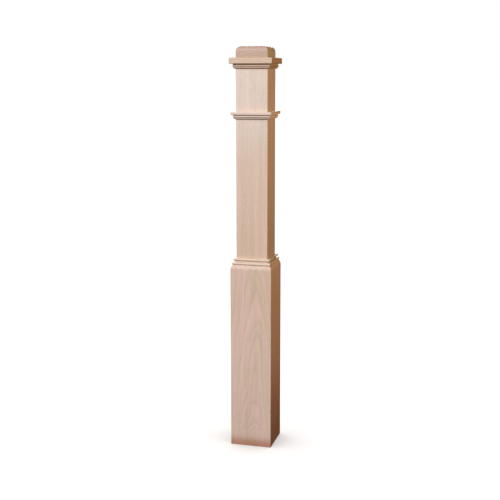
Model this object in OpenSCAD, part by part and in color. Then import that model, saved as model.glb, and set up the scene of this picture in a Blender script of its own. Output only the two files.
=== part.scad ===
// Box newel post: a hollow square shaft of four mitred boards, a square base of four
// thicker-set boards wrapped round its foot, three mitred mouldings and a solid cap block.
// The floor is z = 0, the post's axis is the z axis and its front faces -y.
// Each side of the post is made once, as its front, and turned about the axis.

/* [Post] */
// Height of the whole post above the floor
post_height = 1524; // [1300:0.1:1900]
// Width of the square shaft across its faces
shaft_width = 120.65; // [90:0.05:160]
// Thickness of the boards of the shaft
shaft_board = 19.05; // [12:0.05:26]
// Rounding of every upright outer corner
corner_radius = 1.2; // [0.4:0.1:3]

/* [Base] */
// Height of the boards wrapped round the foot of the shaft
base_height = 714.2; // [250:0.1:850]
// Thickness of those boards
base_board = 19.05; // [16:0.05:26]
// Radius of the long curve that draws in their faces at the top
base_curve = 28; // [12:0.1:40]
// How far that curve comes in
base_draw = 7; // [2:0.1:8]

/* [Base moulding] */
// Height of the lower bead
lower_bead = 10.3; // [6:0.1:14]
// Projection of the lower bead from the shaft
lower_bead_out = 14.6; // [12:0.1:18]
// Height of the groove between the beads
bead_groove = 4.8; // [2:0.1:8]
// Thickness left behind that groove
bead_groove_out = 4.5; // [3:0.1:8]
// Height of the upper bead
upper_bead = 9.2; // [6:0.1:12]
// Projection of the upper bead from the shaft
upper_bead_out = 10.4; // [9:0.1:14]

/* [Lower members shared by the two upper mouldings] */
// Width of the flat underside between the shaft and the ovolo
ovolo_edge = 1; // [0.5:0.1:3]
// Radius of the ovolo, the quarter round at the bottom
ovolo_radius = 7; // [5:0.1:10]
// Height of the plain face between the ovolo and the fillet
ovolo_face = 1.3; // [0.5:0.1:4]
// How far the fillet stands out over that face
fillet_step = 4; // [1:0.1:6]
// Height of the fillet
fillet_height = 3.2; // [2:0.1:6]
// Depth of the quirk cut in above the fillet
quirk_depth = 3.5; // [1:0.1:5]

/* [Neck moulding] */
// Height of the quirk between its fillet and its nose
neck_quirk = 3.8; // [2:0.1:8]
// Height of its nose
neck_nose = 12.3; // [8:0.1:16]
// Rounding of the nose's two edges
nose_round = 3.8; // [1:0.1:4]
// Projection of its nose from the shaft
neck_out = 16.4; // [14:0.1:24]
// Clear height of shaft above it, where a handrail lands
rail_zone = 155.5; // [60:0.1:250]

/* [Crown moulding] */
// Height of the quirk between its fillet and its fascia
crown_quirk = 6.3; // [2:0.1:10]
// Height of its flat fascia
crown_fascia = 22; // [12:0.1:30]
// Projection of the fascia from the shaft
crown_out = 20.6; // [16:0.1:30]
// Rounding of the fascia's top edge
fascia_top_round = 3.5; // [1:0.1:5]
// Rounding of its bottom edge
fascia_low_round = 2.5; // [0.5:0.1:4]

/* [Cap block] */
// Height of the block that shows above the crown moulding
cap_reveal = 41.3; // [25:0.1:80]
// Depth of the block let down inside the crown moulding
cap_seat = 9.5; // [3:0.1:20]
// Round-over of the block's four top edges
cap_round = 18; // [4:0.1:24]

/* [Hidden] */
$fn = 48;
SIDES = ["front", "right", "back", "left"];
// How far a cutting shape runs past the wood
overrun = 1;

// Half widths of the shaft, of its hollow and of the base
shaft_half = shaft_width / 2;
hollow_half = shaft_half - shaft_board;
base_half = shaft_half + base_board;

// Height that the curve takes at the top of the base boards
base_curve_height = sqrt(base_curve * base_curve - (base_curve - base_draw) * (base_curve - base_draw));
base_moulding_height = lower_bead + bead_groove + upper_bead;

// Projections and heights of the members below the quirks
ovolo_out = ovolo_edge + ovolo_radius;
fillet_out = ovolo_out + fillet_step;
fillet_level = ovolo_radius + ovolo_face;
quirk_level = fillet_level + fillet_height;
neck_height = quirk_level + neck_quirk + neck_nose;
crown_height = quirk_level + crown_quirk + crown_fascia;

// Levels above the floor, worked down from the top of the post
crown_top = post_height - cap_reveal;
crown_level = crown_top - crown_height;
neck_level = crown_level - rail_zone - neck_height;
shaft_top = crown_top - cap_seat;

// ---- Sections: x is the distance out from the shaft's face, y the height ----

// A band of the section, from the shaft's face out to the given projection
module band(level, height, out) {
    translate([0, level]) square([out, height]);
}

// A band whose outer edge is a half round
module bead(level, height, out) {
    band(level, height, out - height / 2);
    translate([out - height / 2, level + height / 2]) circle(d = height);
}

// A band whose outer corners are rounded by two different radii
module eased_band(level, height, out, low_round, top_round) {
    band(level, height, out - max(low_round, top_round));
    band(level + low_round, height - low_round - top_round, out);
    translate([out - low_round, level + low_round]) circle(r = low_round);
    translate([out - top_round, level + height - top_round]) circle(r = top_round);
    band(level, low_round, out - low_round);
    band(level + height - top_round, top_round, out - top_round);
}

// Ovolo, plain face and fillet, from the moulding's underside up
module lower_members() {
    band(0, fillet_level, ovolo_edge);
    band(ovolo_radius, ovolo_face, ovolo_out);
    intersection() {
        band(0, ovolo_radius, ovolo_out);
        translate([ovolo_edge, ovolo_radius]) circle(r = ovolo_radius);
    }
    band(fillet_level, fillet_height, fillet_out);
}

module base_moulding_section() {
    bead(0, lower_bead, lower_bead_out);
    band(lower_bead, bead_groove, bead_groove_out);
    bead(lower_bead + bead_groove, upper_bead, upper_bead_out);
}

module neck_moulding_section() {
    lower_members();
    band(quirk_level, neck_quirk, fillet_out - quirk_depth);
    eased_band(quirk_level + neck_quirk, neck_nose, neck_out, nose_round, nose_round);
}

module crown_moulding_section() {
    lower_members();
    band(quirk_level, crown_quirk, fillet_out - quirk_depth);
    eased_band(quirk_level + crown_quirk, crown_fascia, crown_out, fascia_low_round, fascia_top_round);
}

// A base board's section: its face draws in along a long curve to the top
module base_board_section() {
    curve_level = base_height - base_curve_height;
    band(0, curve_level, base_board);
    intersection() {
        band(curve_level, base_curve_height, base_board);
        translate([base_board - base_curve, curve_level]) circle(r = base_curve);
    }
}

// ---- Solids ----

// A square bar with its four upright edges rounded
module rounded_bar(half, level, height) {
    flat = half - corner_radius;
    translate([0, 0, level]) linear_extrude(height) union() {
        square([2 * flat, 2 * half], center = true);
        square([2 * half, 2 * flat], center = true);
        for (x = [-flat, flat], y = [-flat, flat]) translate([x, y]) circle(r = corner_radius);
    }
}

// The quarter of the plan that belongs to the front, between the two mitre planes
module front_quarter(half, level, height) {
    translate([0, 0, level]) linear_extrude(height) polygon([[0, 0], [-half, -half], [half, -half]]);
}

// Runs a section along the front of the shaft, mitred at both ends
module front_run(out, level, height) {
    half = shaft_half + out;
    low = level - overrun;
    tall = height + 2 * overrun;
    intersection() {
        translate([-half, -shaft_half, level]) rotate([90, 0, 90])
            linear_extrude(2 * half) mirror([1, 0]) children();
        front_quarter(half + overrun, low, tall);
        rounded_bar(half, low, tall);
    }
}

module base_board(side) {
    color("#d0b29c") rotate([0, 0, 90 * side]) front_run(base_board, 0, base_height) base_board_section();
}

module shaft_board(side) {
    color("#dcc3b0") rotate([0, 0, 90 * side]) difference() {
        intersection() {
            front_quarter(shaft_half + overrun, 0, shaft_top);
            rounded_bar(shaft_half, 0, shaft_top);
        }
        translate([-shaft_half, -hollow_half, -overrun])
            cube([shaft_width, shaft_half, shaft_top + 2 * overrun]);
    }
}

module base_moulding(side) {
    color("#d9bfa8") rotate([0, 0, 90 * side])
        front_run(lower_bead_out, base_height, base_moulding_height) base_moulding_section();
}

module neck_moulding(side) {
    color("#dcc6b2") rotate([0, 0, 90 * side])
        front_run(neck_out, neck_level, neck_height) neck_moulding_section();
}

module crown_moulding(side) {
    color("#d4b89e") rotate([0, 0, 90 * side])
        front_run(crown_out, crown_level, crown_height) crown_moulding_section();
}

// The solid block that closes the shaft, its four top edges rounded over
module cap_block() {
    height = cap_reveal + cap_seat;
    color("#c8ab98") intersection() {
        rounded_bar(shaft_half, shaft_top, height);
        rounded_top(height);
        rotate([0, 0, 90]) rounded_top(height);
    }
}

// A bar along x as wide as the cap block, with its two top edges rounded over
module rounded_top(height) {
    flat = shaft_half - cap_round;
    translate([-shaft_half, 0, shaft_top]) rotate([90, 0, 90]) linear_extrude(shaft_width) union() {
        translate([-shaft_half, 0]) square([shaft_width, height - cap_round]);
        translate([-flat, 0]) square([2 * flat, height]);
        for (y = [-flat, flat]) translate([y, height - cap_round]) circle(r = cap_round);
    }
}

for (i = [0:3]) base_board(i);
for (i = [0:3]) shaft_board(i);
for (i = [0:3]) base_moulding(i);
for (i = [0:3]) neck_moulding(i);
for (i = [0:3]) crown_moulding(i);
cap_block();
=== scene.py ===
"""Looks of the box newel post: 21 pieces of unfinished red oak, a pale floor, studio light and the camera.

Every piece is remade as a finer mesh of the same section, with arrises eased as sanded wood has them and a
hairline at each mitre. A section is given in mm: out from the shaft's face, and up from the piece's
underside. The oak is one solid wood: growth rings round a pith, pores, rays and streaks, cut by each piece
where it lies.
"""
import math

import bmesh
import bpy
from mathutils import Matrix, Vector


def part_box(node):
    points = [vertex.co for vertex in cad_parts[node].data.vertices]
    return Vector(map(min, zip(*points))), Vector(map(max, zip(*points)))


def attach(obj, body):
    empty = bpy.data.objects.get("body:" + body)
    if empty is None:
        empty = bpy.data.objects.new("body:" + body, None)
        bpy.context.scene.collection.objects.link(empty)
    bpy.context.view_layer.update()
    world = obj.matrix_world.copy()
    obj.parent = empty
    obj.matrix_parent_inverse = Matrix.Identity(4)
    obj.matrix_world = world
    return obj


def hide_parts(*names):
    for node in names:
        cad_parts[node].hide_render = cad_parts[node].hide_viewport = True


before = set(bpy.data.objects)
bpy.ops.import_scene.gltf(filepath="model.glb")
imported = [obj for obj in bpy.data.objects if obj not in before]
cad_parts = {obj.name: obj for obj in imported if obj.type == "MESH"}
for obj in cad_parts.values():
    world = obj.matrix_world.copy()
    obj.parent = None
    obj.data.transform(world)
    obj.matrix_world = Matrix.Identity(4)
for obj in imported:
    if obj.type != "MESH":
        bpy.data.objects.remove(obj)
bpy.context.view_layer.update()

SIDES = ("front", "right", "back", "left")
MM = 0.001
SHAFT_HALF = -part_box("shaft_board_front")[0].y

# Upright corners and mitres, in metres
CORNER = 1.2 * MM        # rounding of the outermost upright corner of a piece
LEAST_CORNER = 0.25 * MM  # the least that is left of it deeper in the section
CORNER_LOSS = 0.25       # how much of it is lost for each unit of depth
HAIRLINE = 0.22 * MM     # depth of the line at a mitre
WIDEST_GAP = 0.5         # the widest angle that this line takes from the corner
BACK = 0.1 * MM          # a point this near the back of its section is out of sight
SAME_POINT = 0.001 * MM  # points this near each other become one

# How fine the meshes are
CORNER_STEPS = 4
LEAST_STEPS = 3
WIDE_ARC = 2 * MM        # an arc of a larger radius than this takes the finer step
FINE_STEP = 7            # degrees
COARSE_STEP = 22         # degrees
CURVE_STEPS = 10
ROUND_STEPS = 14
SHARP = math.radians(40)

# Sizes of the CAD model that its boxes don't give, and small radii that are eased here, in mm
SHAFT_BOARD = 19.05      # thickness of the shaft's boards
BASE_CURVE = 28          # radius of the curve at the top of the base's faces
BASE_DRAW = 7            # how far it comes in
LOWER_BEAD = 10.3        # height of the base moulding's lower bead
BEAD_GROOVE = 4.8        # height of the groove above it
GROOVE_OUT = 4.5         # thickness left behind that groove
UPPER_BEAD_OUT = 10.4    # projection of the upper bead
BEAD_FLAT = 0.01         # a bead's two arcs stop this far from its middle
OVOLO_OUT = 8            # projection of the ovolo
OVOLO_ROUND = 6.9        # its radius
FILLET_LEVEL = 8.3       # underside of the fillet
FILLET_OUT = 12          # its projection
QUIRK_LEVEL = 11.5       # underside of the quirk, which is the fillet's top
QUIRK_OUT = 8.5          # thickness left behind the quirk
NECK_QUIRK = 3.8         # height of the neck moulding's quirk
NOSE_ROUND = 3.8         # rounding of its nose
CROWN_QUIRK = 6.3        # height of the crown moulding's quirk
FASCIA_LOW_ROUND = 2.5   # rounding of its fascia at the bottom
FASCIA_TOP_ROUND = 3.5   # and at the top
CAP_ROUND = 18           # round-over of the cap block
EASE = 0.35              # sanded rounding of a sharp arris
CREASE = 0.2             # rounding of an inner corner


# ---- Meshes ----

def eased(*corners):
    """A closed section in metres from its corners (out, up, radius) in mm, each turned into an arc."""
    corners = [(out * MM, up * MM, radius * MM) for out, up, radius in corners]
    points = []
    for i, (out, up, radius) in enumerate(corners):
        here = Vector((out, up))
        if radius == 0:
            points.append(here)
            continue
        before = (Vector(corners[i - 1][:2]) - here).normalized()
        after = (Vector(corners[(i + 1) % len(corners)][:2]) - here).normalized()
        turn = math.pi - before.angle(after)
        reach = radius * math.tan(turn / 2)
        centre = here + (before + after).normalized() * math.hypot(reach, radius)
        start = here + before * reach - centre
        step = FINE_STEP if radius > WIDE_ARC else COARSE_STEP
        steps = max(LEAST_STEPS, round(math.degrees(turn) / step))
        way = math.copysign(turn, start.cross(here + after * reach - centre))
        for k in range(steps + 1):
            points.append(centre + Matrix.Rotation(way * k / steps, 2) @ start)
    return points


def front_path(half, radius, joint):
    """Plan of the front quarter at this half width: left mitre, rounded corner, face, corner, right mitre."""
    flat = half - radius
    gap = min(WIDEST_GAP, joint / radius)
    mitre, sweep = math.radians(225), math.radians(45)
    angles = [mitre + gap + (sweep - gap) * k / CORNER_STEPS for k in range(CORNER_STEPS + 1)]
    left = [(-flat + radius * math.cos(a), -flat + radius * math.sin(a)) for a in angles]
    end = -flat - (radius - joint) * math.sqrt(0.5)
    left.insert(0, (end, end))
    return left + [(-x, y) for x, y in reversed(left)]


def skin(bm, here, there, closed):
    """Faces between two rows of as many vertices, round to the first again where the rows are closed."""
    for k in range(len(here) if closed else len(here) - 1):
        n = (k + 1) % len(here)
        bm.faces.new((here[k], here[n], there[n], there[k]))


def finish_mesh(name, bm, side):
    """Turns a front piece to its side and makes it an object that stands for its CAD node."""
    bmesh.ops.remove_doubles(bm, verts=bm.verts, dist=SAME_POINT)
    bmesh.ops.rotate(bm, verts=bm.verts, matrix=Matrix.Rotation(math.radians(90 * side), 3, "Z"))
    bmesh.ops.recalc_face_normals(bm, faces=bm.faces)
    mesh = bpy.data.meshes.new("look_" + name)
    bm.to_mesh(mesh)
    bm.free()
    mesh.shade_smooth()
    mesh.set_sharp_from_angle(angle=SHARP)
    piece = bpy.data.objects.new("look_" + name, mesh)
    bpy.context.scene.collection.objects.link(piece)
    even = piece.modifiers.new("even_shading", "WEIGHTED_NORMAL")
    even.keep_sharp = True
    even.weight = 100
    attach(piece, "root")
    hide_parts(name)
    return piece


def mitred(name, side, section, level):
    """Runs a closed section along one side of the post, mitred at both ends."""
    bm = bmesh.new()
    loops = []
    outmost = max(p.x for p in section)
    backmost = min(p.x for p in section)
    for p in section:
        hidden = p.x - backmost < BACK
        radius = LEAST_CORNER if hidden else max(LEAST_CORNER, CORNER - CORNER_LOSS * (outmost - p.x))
        path = front_path(SHAFT_HALF + p.x, radius, 0 if hidden else HAIRLINE)
        loops.append([bm.verts.new((x, y, level + p.y)) for x, y in path])
    for here, there in zip(loops, loops[1:] + loops[:1]):
        skin(bm, here, there, closed=False)
    bm.faces.new([loop[0] for loop in loops])
    bm.faces.new([loop[-1] for loop in loops])
    return finish_mesh(name, bm, side)


def block(name, half, low, high, crown):
    """The cap block: square, its upright corners eased and its four top edges rounded over."""
    rings = [(half, low), (half, high - crown)]
    for k in range(1, ROUND_STEPS + 1):
        a = math.radians(90) * k / ROUND_STEPS
        rings.append((half - crown + crown * math.cos(a), high - crown + crown * math.sin(a)))
    turns = [Matrix.Rotation(math.radians(90 * side), 2) for side in range(4)]
    bm = bmesh.new()
    loops = []
    for wide, z in rings:
        path = front_path(wide, CORNER, 0)[1:-2]
        spots = [turn @ Vector(p) for turn in turns for p in path]
        loops.append([bm.verts.new((p.x, p.y, z)) for p in spots])
    for here, there in zip(loops, loops[1:]):
        skin(bm, here, there, closed=True)
    bm.faces.new(loops[0])
    bm.faces.new(loops[-1])
    return finish_mesh(name, bm, 0)


# ---- Sections ----

def height(node):
    """Height of a piece in mm."""
    low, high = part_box(node)
    return (high.z - low.z) / MM


def projection(node):
    """How far a front piece stands out from the shaft's face in mm."""
    return (-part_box(node)[0].y - SHAFT_HALF) / MM


def base_board_section():
    """A board whose face draws in along a long curve to its top."""
    face, top = projection("base_board_front"), height("base_board_front")
    last = math.acos(1 - BASE_DRAW / BASE_CURVE)
    centre_out, centre_up = face - BASE_CURVE, top - BASE_CURVE * math.sin(last)
    angles = [last * k / CURVE_STEPS for k in range(CURVE_STEPS)]
    curve = [(centre_out + BASE_CURVE * math.cos(a), centre_up + BASE_CURVE * math.sin(a), 0) for a in angles]
    return eased((0, 0, 0), (face, 0, EASE), *curve, (face - BASE_DRAW, top, EASE), (0, top, 0))


def shaft_board_section():
    """A plain board behind the shaft's face."""
    top = height("shaft_board_front")
    return eased((-SHAFT_BOARD, 0, 0), (0, 0, EASE), (0, top, 0), (-SHAFT_BOARD, top, 0))


def base_moulding_section():
    """Two half-round beads, the lower one further out, with a groove between them."""
    out, top = projection("base_moulding_front"), height("base_moulding_front")
    groove_top = LOWER_BEAD + BEAD_GROOVE
    lower_round = LOWER_BEAD / 2 - BEAD_FLAT
    upper_round = (top - groove_top) / 2 - BEAD_FLAT
    return eased((0, 0, 0), (out, 0, lower_round), (out, LOWER_BEAD, lower_round),
                 (GROOVE_OUT, LOWER_BEAD, CREASE), (GROOVE_OUT, groove_top, 0),
                 (UPPER_BEAD_OUT, groove_top, upper_round), (UPPER_BEAD_OUT, top, upper_round), (0, top, 0))


def upper_moulding_section(node, quirk, low_round, top_round):
    """From the bottom: an ovolo, a fillet, a quirk, and a nose or fascia with two roundings."""
    out, top = projection(node), height(node)
    nose = QUIRK_LEVEL + quirk
    return eased((0, 0, 0), (OVOLO_OUT, 0, OVOLO_ROUND), (OVOLO_OUT, FILLET_LEVEL, CREASE),
                 (FILLET_OUT, FILLET_LEVEL, EASE), (FILLET_OUT, QUIRK_LEVEL, EASE),
                 (QUIRK_OUT, QUIRK_LEVEL, CREASE), (QUIRK_OUT, nose, CREASE),
                 (out, nose, low_round), (out, top, top_round), (0, top, 0))


SECTIONS = {
    "base_board": base_board_section(),
    "shaft_board": shaft_board_section(),
    "base_moulding": base_moulding_section(),
    "neck_moulding": upper_moulding_section("neck_moulding_front", NECK_QUIRK, NOSE_ROUND, NOSE_ROUND),
    "crown_moulding": upper_moulding_section("crown_moulding_front", CROWN_QUIRK, FASCIA_LOW_ROUND,
                                             FASCIA_TOP_ROUND),
}

pieces = {}
for kind, section in SECTIONS.items():
    for side, word in enumerate(SIDES):
        node = f"{kind}_{word}"
        pieces[node] = mitred(node, side, section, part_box(node)[0].z)
low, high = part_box("cap_block")
pieces["cap_block"] = block("cap_block", high.x, low.z, high.z, CAP_ROUND * MM)


# ---- Oak ----

# Linear colours of the wood
PINK = (0.645, 0.449, 0.364, 1)
STRAW = (0.621, 0.470, 0.335, 1)
EARLY = (0.500, 0.330, 0.235, 1)
PORE = (0.300, 0.170, 0.105, 1)
END_GRAIN = (1.08, 1.28, 1.20, 1)  # what the colour is multiplied by on end grain

# How far one unit of seed moves a piece in the tree, in mm
SEED_MOVE = (37.3, 19.7, 411.0)

# The early wood through one ring: the share of the ring passed, and how much of it is early wood there
RING = ((0.0, 0.75), (0.10, 1.0), (0.34, 0.42), (0.62, 0.08), (0.90, 0.0), (1.0, 0.75))
YEARS = 13            # mm of radius over which the rings grow wider or narrower
YEARS_SHIFT = 7.0     # mm by which that moves them

# A swirl's half width across and along the grain in mm, and how much it strengthens the figure
SWIRL_ACROSS = 32
SWIRL_ALONG = 64
SWIRL_FIGURE = 0.018

# A ray's thickness, its reach out from the pith and its height along the grain, in mm
RAY_THICK = 0.55
RAY_REACH = 14
RAY_TALL = 7

# How much of the pores and rays shows in the colour
PORES_SHOW = 0.55
RAYS_SHOW = 0.22

# How squarely a face looks along the grain where it starts to be end grain, and where it is all end grain
END_STARTS = 0.55
END_FULL = 0.95

# Each piece is cut at its own place in a tree, given by the numbers of CUT
CUT = ("Pith across", "Pith depth", "Lean", "Bow", "Ring width", "Figure", "Blush")
CUTS = {
    "base_board_front": (10, 46, 0.060, 0, 6.4, 0.30, 0.02),
    "base_board_right": (170, 120, 0.010, 0, 4.2, 0.30, 0.06),
    "base_board_back": (-18, 60, 0.050, 0, 5.2, 0.32, 0.00),
    "base_board_left": (-130, 60, -0.020, 0, 4.4, 0.30, 0.03),
    "shaft_board_front": (150, 90, 0.006, 0, 4.6, 0.24, -0.02),
    "shaft_board_right": (-160, 70, 0.008, 0, 4.0, 0.26, 0.05),
    "shaft_board_back": (12, 70, 0.030, 0, 5.0, 0.28, 0.00),
    "shaft_board_left": (140, 110, 0.010, 0, 4.4, 0.26, 0.02),
    "cap_block": (-30, 38, 0.020, 0.0055, 6.0, 0.55, 0.07),
    "base_moulding": (60, 40, 0.02, 0, 3.8, 0.30, 0.02),
    "neck_moulding": (-45, 60, 0.02, 0, 3.8, 0.28, 0.02),
    "crown_moulding": (70, 55, 0.02, 0, 4.2, 0.30, -0.02),
}

# Where the rings of a board swirl as they do near a branch: by how much, and the place in mm, across from the
# pith and along the grain
SWIRL = ("Swirl", "Swirl across", "Swirl along")
SWIRLS = {
    "base_board_front": (-50, 0, -22),
    "base_board_left": (24, -110, 400),
    "shaft_board_back": (30, 20, 1000),
}

# The tone of a piece, or its tones at some heights above the floor in metres, blended in between. Several of
# these are painted light and shade, as noted at each.
TONES_AND_PAINTED_LIGHT = {
    "base_board": ((0.0, (1.03, 1.06, 1.06)), (0.30, (1.04, 1.06, 1.07)), (0.65, (1.00, 0.99, 0.98))),
    # Painted shade: the front base board turns darker and warmer in its lowest few centimetres, as shade near
    # the floor
    "base_board_front": ((0.006, (0.72, 0.52, 0.44)), (0.048, (1.00, 1.03, 1.05)), (0.30, (1.04, 1.06, 1.08)),
                         (0.65, (1.00, 0.99, 0.98))),
    # Painted shade: the right base board turns darker and redder towards the floor
    "base_board_right": ((0.03, (0.98, 0.78, 0.74)), (0.14, (1.13, 0.91, 0.86)), (0.34, (1.25, 1.14, 1.12)),
                         (0.68, (1.09, 1.04, 1.01))),
    # Painted light: the shaft's boards turn lighter and bluer towards the top, as a highlight
    "shaft_board": ((0.80, (0.98, 0.97, 0.93)), (1.06, (1.03, 1.00, 1.00)), (1.25, (1.06, 1.10, 1.16))),
    # Painted shade: the right shaft board is kept darker than the others and does not lighten at the top
    "shaft_board_right": ((0.80, (0.92, 0.92, 0.92)), (1.40, (0.94, 0.95, 0.97))),
    "cap_block": ((0, (0.76, 0.69, 0.64)),),
    # Partly painted light: the base moulding's paler tone stands in for the light its beads catch from above
    "base_moulding": ((0, (1.07, 1.14, 1.14)),),
    # Painted light: the neck moulding is paler and bluer, like the lit top of the shaft
    "neck_moulding": ((0, (1.05, 1.12, 1.13)),),
    "crown_moulding": ((0, (0.97, 0.89, 0.82)),),
    # Painted shade: the right crown moulding is darker and more orange than the other three, as a shaded side
    "crown_moulding_right": ((0, (0.69, 0.62, 0.45)),),
}

BARE_WOOD_SPECULAR = 0.32
FIRST_SEED = 1.7
SEED_STEP = 0.83


class Nodes:
    """Adds shader nodes to a tree. Each input is a number, a tuple or another node's output."""

    def __init__(self, tree):
        self.tree = tree

    def add(self, kind, inputs, **settings):
        node = self.tree.nodes.new("ShaderNode" + kind)
        for key, value in settings.items():
            setattr(node, key, value)
        for key, value in inputs.items():
            if isinstance(value, bpy.types.NodeSocket):
                self.tree.links.new(value, node.inputs[key])
            else:
                node.inputs[key].default_value = value
        return node

    def math(self, operation, *values):
        return self.add("Math", dict(enumerate(values)), operation=operation).outputs[0]

    def total(self, start, *terms):
        """The start plus each term's value times its weight."""
        for value, weight in terms:
            start = self.math("MULTIPLY_ADD", value, weight, start)
        return start

    def vector(self, operation, *values):
        node = self.add("VectorMath", dict(enumerate(values)), operation=operation)
        return node.outputs["Value" if operation == "DOT_PRODUCT" else "Vector"]

    def scaled(self, vector, factor):
        return self.add("VectorMath", {0: vector, "Scale": factor}, operation="SCALE").outputs["Vector"]

    def split(self, vector):
        return self.add("SeparateXYZ", {0: vector}).outputs

    def join(self, x, y, z=0.0):
        return self.add("CombineXYZ", {0: x, 1: y, 2: z}).outputs[0]

    def noise(self, vector, detail=0.0, roughness=0.5):
        inputs = {"Vector": vector, "Scale": 1.0, "Detail": detail, "Roughness": roughness}
        return self.add("TexNoise", inputs)

    def stretched(self, vector, across, along, detail=0.0, roughness=0.5):
        """Noise with features this many mm across and along the grain."""
        size = (1 / across, 1 / across, 1 / along)
        return self.noise(self.vector("MULTIPLY", vector, size), detail, roughness)

    def drift(self, vector, reach, across, along):
        """A sideways move of up to half of reach in mm, with features of this size."""
        noise = self.stretched(vector, across, along, detail=2).outputs["Color"]
        return self.vector("MULTIPLY", self.vector("SUBTRACT", noise, (0.5, 0.5, 0.5)), (reach, reach, 0))

    def step(self, value, low, high):
        inputs = {"Value": value, "From Min": low, "From Max": high}
        return self.add("MapRange", inputs, interpolation_type="SMOOTHSTEP").outputs[0]

    def mix(self, factor, a, b, blend="MIX"):
        return self.add("Mix", {0: factor, 6: a, 7: b}, data_type="RGBA", blend_type=blend).outputs[2]


def oak_sockets(group):
    """The inputs and outputs of the oak group."""
    inputs = {"Vector": "Vector", "Seed": "Float", "Tint": "Color", "End grain": "Float"}
    inputs.update({name: "Float" for name in CUT + SWIRL})
    outputs = {"Color": "Color", "Roughness": "Float", "Height": "Float"}
    for way, sockets in (("INPUT", inputs), ("OUTPUT", outputs)):
        for name, kind in sockets.items():
            group.interface.new_socket(name, in_out=way, socket_type="NodeSocket" + kind)


def oak_rings(n, spot, moved, given):
    """Where a spot lies in the tree: across and out from the pith, along it, its radius and its swirl."""
    x, y, along = n.split(spot)

    # The rings wander, slowly over the board and a little over a few centimetres
    slow = n.drift(moved, 30, across=80, along=330)
    quick = n.drift(moved, 5, across=17, along=110)
    wander = n.vector("ADD", slow, quick)
    drift_x, drift_y, _ = n.split(wander)
    bow = n.math("MULTIPLY", n.math("MULTIPLY", along, along), given["Bow"])
    across = n.math("ADD", n.math("SUBTRACT", n.math("ADD", x, drift_x), given["Pith across"]), bow)
    straight = n.math("ADD", y, given["Pith depth"])
    depth = n.math("ADD", n.math("MULTIPLY_ADD", along, given["Lean"], straight), drift_y)
    square = n.math("ADD", n.math("MULTIPLY", across, across), n.math("MULTIPLY", depth, depth))
    radius = n.math("SQRT", square)

    place = n.join(n.math("MULTIPLY", n.math("SUBTRACT", across, given["Swirl across"]), 1 / SWIRL_ACROSS),
                   n.math("MULTIPLY", n.math("SUBTRACT", along, given["Swirl along"]), 1 / SWIRL_ALONG))
    swirl = n.math("EXPONENT", n.math("MULTIPLY", n.vector("DOT_PRODUCT", place, place), -1.0))
    return across, depth, along, radius, swirl


def oak_group():
    """Solid red oak. Vector is in mm: across the face, out of it, along the grain."""
    group = bpy.data.node_groups.new("red_oak", "ShaderNodeTree")
    oak_sockets(group)
    n = Nodes(group)
    given = group.nodes.new("NodeGroupInput").outputs
    result = group.nodes.new("NodeGroupOutput").inputs
    moved = n.vector("ADD", given["Vector"], n.scaled(SEED_MOVE, given["Seed"]))
    across, depth, along, straight_radius, swirl = oak_rings(n, given["Vector"], moved, given)

    # A ring's width differs from year to year, and so does its shade
    since = n.math("MULTIPLY_ADD", straight_radius, 1 / YEARS, given["Seed"])
    years = n.add("TexNoise", {"W": since, "Scale": 1.0, "Detail": 1.0}, noise_dimensions="1D").outputs[0]
    radius = n.math("MULTIPLY_ADD", swirl, given["Swirl"], straight_radius)
    ring = n.math("DIVIDE", n.math("MULTIPLY_ADD", years, YEARS_SHIFT, radius), given["Ring width"])
    year = n.add("TexWhiteNoise", {"W": n.math("FLOOR", ring)}, noise_dimensions="1D").outputs[0]
    ramp = n.add("ValToRGB", {0: n.math("FRACT", ring)})
    stops = ramp.color_ramp.elements
    for place, value in RING:
        stop = stops[0] if place == 0 else stops[-1] if place == 1 else stops.new(place)
        stop.color = (value, value, value, 1)
    early = ramp.outputs[0]

    # Open pores crowd the early wood; rays are thin blades that run out from the pith
    pores = n.step(n.stretched(moved, across=0.42, along=8, detail=1).outputs[0], 0.57, 0.68)
    pores = n.math("MULTIPLY", pores, n.total(0.15, (early, 0.85)))
    round_pith = n.math("MULTIPLY", n.math("ARCTAN2", across, depth), radius)
    blade = n.join(n.math("DIVIDE", round_pith, RAY_THICK), n.math("DIVIDE", radius, RAY_REACH),
                   n.math("DIVIDE", along, RAY_TALL))
    rays = n.step(n.noise(blade).outputs[0], 0.64, 0.76)
    fibre = n.stretched(moved, across=1.3, along=120, detail=3, roughness=0.6).outputs[0]
    streak = n.stretched(moved, across=13, along=800, detail=2, roughness=0.55).outputs[0]
    mottle = n.stretched(moved, across=40, along=150, detail=2).outputs[0]

    warm = n.step(n.total(given["Blush"], (streak, 0.6), (mottle, 0.5)), 0.36, 0.74)
    swirled = n.math("MULTIPLY", swirl, n.math("ABSOLUTE", given["Swirl"]))
    figure = n.total(given["Figure"], (swirled, SWIRL_FIGURE))
    color = n.mix(warm, STRAW, PINK)
    color = n.mix(n.math("MULTIPLY", early, figure), color, EARLY)
    color = n.mix(n.math("MULTIPLY", pores, PORES_SHOW), color, PORE)
    color = n.mix(n.math("MULTIPLY", rays, RAYS_SHOW), color, PORE)
    light = n.total(0.665, (year, 0.05), (mottle, 0.14), (fibre, 0.22), (streak, 0.26))
    # The tone, which for some pieces is painted light and shade, multiplies the colour
    color = n.mix(1.0, color, n.scaled(given["Tint"], light), "MULTIPLY")
    color = n.mix(given["End grain"], color, n.mix(1.0, color, END_GRAIN, "MULTIPLY"))

    rough = n.total(0.60, (rays, -0.12), (pores, 0.18), (given["End grain"], 0.12))
    relief = n.total(0.0, (fibre, 0.03), (early, -0.02), (pores, -0.10))
    for name, value in (("Color", color), ("Roughness", rough), ("Height", relief)):
        group.links.new(value, result[name])
    return group


def entry(table, node):
    """What a table says of a piece, or else of its kind."""
    return table.get(node) or table[node.rpartition("_")[0]]


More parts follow.
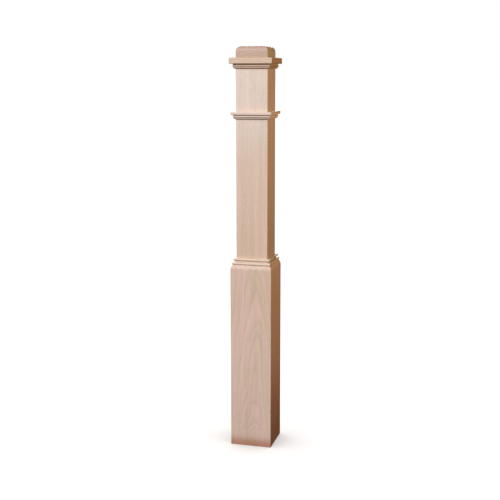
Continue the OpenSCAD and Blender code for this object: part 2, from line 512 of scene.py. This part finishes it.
def blended(n, up, lit_tones):
    """The tone at a height in mm, which for some pieces is painted light and shade. Each one given blends
    into the next between their two heights.
    """
    lit_tone = (*lit_tones[0][1], 1)
    for (start, _), (stop, shade) in zip(lit_tones, lit_tones[1:]):
        lit_tone = n.mix(n.step(up, start / MM, stop / MM), lit_tone, (*shade, 1))
    return lit_tone


def oak(node, seed):
    """One piece's oak. The grain runs up a board, along a moulding and across the cap block."""
    material = bpy.data.materials.new("oak_" + node)
    material.use_nodes = True
    tree = material.node_tree
    n = Nodes(tree)
    word = node.rpartition("_")[2]
    side = SIDES.index(word) if word in SIDES else 0
    place = tree.nodes.new("ShaderNodeTexCoord").outputs
    turned = n.add("Mapping", {"Vector": place["Object"], "Rotation": (0, 0, math.radians(-90 * side)),
                               "Scale": (1 / MM, 1 / MM, 1 / MM)}).outputs[0]
    x, y, up = n.split(turned)
    out = n.math("SUBTRACT", n.math("MULTIPLY", y, -1.0), SHAFT_HALF / MM)
    upright = "board" in node
    if upright:
        spot = n.join(x, out, up)
    else:
        spot = n.join(n.math("SUBTRACT", up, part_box(node)[0].z / MM), out, x)
    inputs = {"Vector": spot, "Seed": seed, "Tint": blended(n, up, entry(TONES_AND_PAINTED_LIGHT, node))}
    inputs.update(zip(CUT, entry(CUTS, node)))
    inputs.update(zip(SWIRL, SWIRLS.get(node, ())))
    if "moulding" not in node:
        facing = n.vector("DOT_PRODUCT", place["Normal"], (0, 0, 1) if upright else (1, 0, 0))
        inputs["End grain"] = n.step(n.math("ABSOLUTE", facing), END_STARTS, END_FULL)
    grain = n.add("Group", inputs, node_tree=OAK).outputs
    bump = n.add("Bump", {"Height": grain["Height"], "Distance": MM, "Strength": 1.0})
    shader = tree.nodes["Principled BSDF"]
    shader.inputs["Specular IOR Level"].default_value = BARE_WOOD_SPECULAR
    tree.links.new(grain["Color"], shader.inputs["Base Color"])
    tree.links.new(grain["Roughness"], shader.inputs["Roughness"])
    tree.links.new(bump.outputs[0], shader.inputs["Normal"])
    return material


OAK = oak_group()
for number, (node, piece) in enumerate(sorted(pieces.items())):
    piece.data.materials.append(oak(node, FIRST_SEED + SEED_STEP * number))


# ---- Floor, light and camera ----

FLOOR_REACH = 150
FLOOR_WHITE = 0.90
MIDDLE = (0, 0, 0.9)  # middle of the post


def pale(name, value):
    """A matt grey of this value."""
    material = bpy.data.materials.new(name)
    material.use_nodes = True
    shader = material.node_tree.nodes["Principled BSDF"]
    shader.inputs["Base Color"].default_value = (value, value, value, 1)
    shader.inputs["Roughness"].default_value = 0.9
    shader.inputs["Specular IOR Level"].default_value = 0.0
    return material


mesh = bpy.data.meshes.new("floor")
corners = [(x * FLOOR_REACH, y * FLOOR_REACH, 0) for x, y in ((-1, -1), (1, -1), (1, 1), (-1, 1))]
mesh.from_pydata(corners, [], [(0, 1, 2, 3)])
floor = bpy.data.objects.new("floor", mesh)
bpy.context.scene.collection.objects.link(floor)
floor.data.materials.append(pale("pale_floor", FLOOR_WHITE))
floor.visible_diffuse = False
floor.visible_glossy = False

# The post and the floor have lamps of their own
for_post = bpy.data.collections.new("lit_by_studio")
for piece in pieces.values():
    for_post.objects.link(piece)
for_floor = bpy.data.collections.new("lit_by_sky")
for_floor.objects.link(floor)


def lamp(name, kind, strength, color, place, aim, only):
    """A lamp at one place, aimed at another, that lights one collection only."""
    data = bpy.data.lights.new(name, kind)
    data.energy = strength
    data.color = color
    light = bpy.data.objects.new(name, data)
    light.location = place
    light.rotation_euler = (Vector(aim) - Vector(place)).to_track_quat("-Z", "Y").to_euler()
    bpy.context.scene.collection.objects.link(light)
    light.light_linking.receiver_collection = only
    return data


def panel(name, strength, color, place, width, aim=MIDDLE, spread=180):
    """A square panel of light for the post."""
    data = lamp(name, "AREA", strength, color, place, aim, for_post)
    data.shape = "RECTANGLE"
    data.size = width
    data.size_y = width
    data.spread = math.radians(spread)


panel("key", 1900, (1.0, 0.965, 1.0), (-3.68, -11.04, 6.98), 3.2)
panel("upper", 16, (0.40, 0.82, 1.0), (-0.5, -1.6, 3.0), 0.8)
panel("near", 1.2, (0.25, 0.70, 1.0), (-0.25, -1.0, 1.5), 0.3, aim=(0, 0, 1.35))
panel("warm_side", 9.5, (1.0, 0.737, 0.428), (1.6, -0.1, 1.4), 0.5, aim=(0, 0, 1.15), spread=140)
panel("behind", 300, (1.0, 0.96, 0.92), (-1.5, 6.5, 3.0), 2)
panel("left_fill", 20, (1.0, 0.96, 0.92), (-2.4, 0.4, 1.8), 1)
sky = lamp("sky", "SUN", 3.95, (1, 1, 1), (0, 0, 4), (0, 0, 0), for_floor)
sky.angle = math.radians(80)

# A white ground for the camera, and a faint warm glow for everything else
world = bpy.data.worlds.new("studio")
bpy.context.scene.world = world
world.use_nodes = True
n = Nodes(world.node_tree)
dim = world.node_tree.nodes["Background"]
dim.inputs["Color"].default_value = (1.0, 0.62, 0.50, 1)
dim.inputs["Strength"].default_value = 0.04
white = n.add("Background", {"Color": (1, 1, 1, 1), "Strength": 1.0})
seen = world.node_tree.nodes.new("ShaderNodeLightPath").outputs["Is Camera Ray"]
both = n.add("MixShader", {0: seen, 1: dim.outputs[0], 2: white.outputs[0]})
world.node_tree.links.new(both.outputs[0], world.node_tree.nodes["World Output"].inputs["Surface"])

bpy.context.scene.view_settings.view_transform = "Standard"

CAMERA_PLACE = (0.91221, -3.46402, 1.42662)
YAW = math.radians(-15.114)
PITCH = math.radians(10.524)
ROLL = math.radians(-0.096)
camera_data = bpy.data.cameras.new("camera")
camera_data.lens = 68.5
camera_data.sensor_width = 36
camera = bpy.data.objects.new("camera", camera_data)
bpy.context.scene.collection.objects.link(camera)
ahead = Vector((math.sin(YAW) * math.cos(PITCH), math.cos(YAW) * math.cos(PITCH), -math.sin(PITCH)))
level_right = Vector((math.cos(YAW), -math.sin(YAW), 0))
level_up = level_right.cross(ahead)
right = level_right * math.cos(ROLL) + level_up * math.sin(ROLL)
up = level_up * math.cos(ROLL) - level_right * math.sin(ROLL)
aimed = Matrix((right, up, -ahead)).transposed().to_4x4()
camera.matrix_world = Matrix.Translation(CAMERA_PLACE) @ aimed
bpy.context.scene.camera = camera
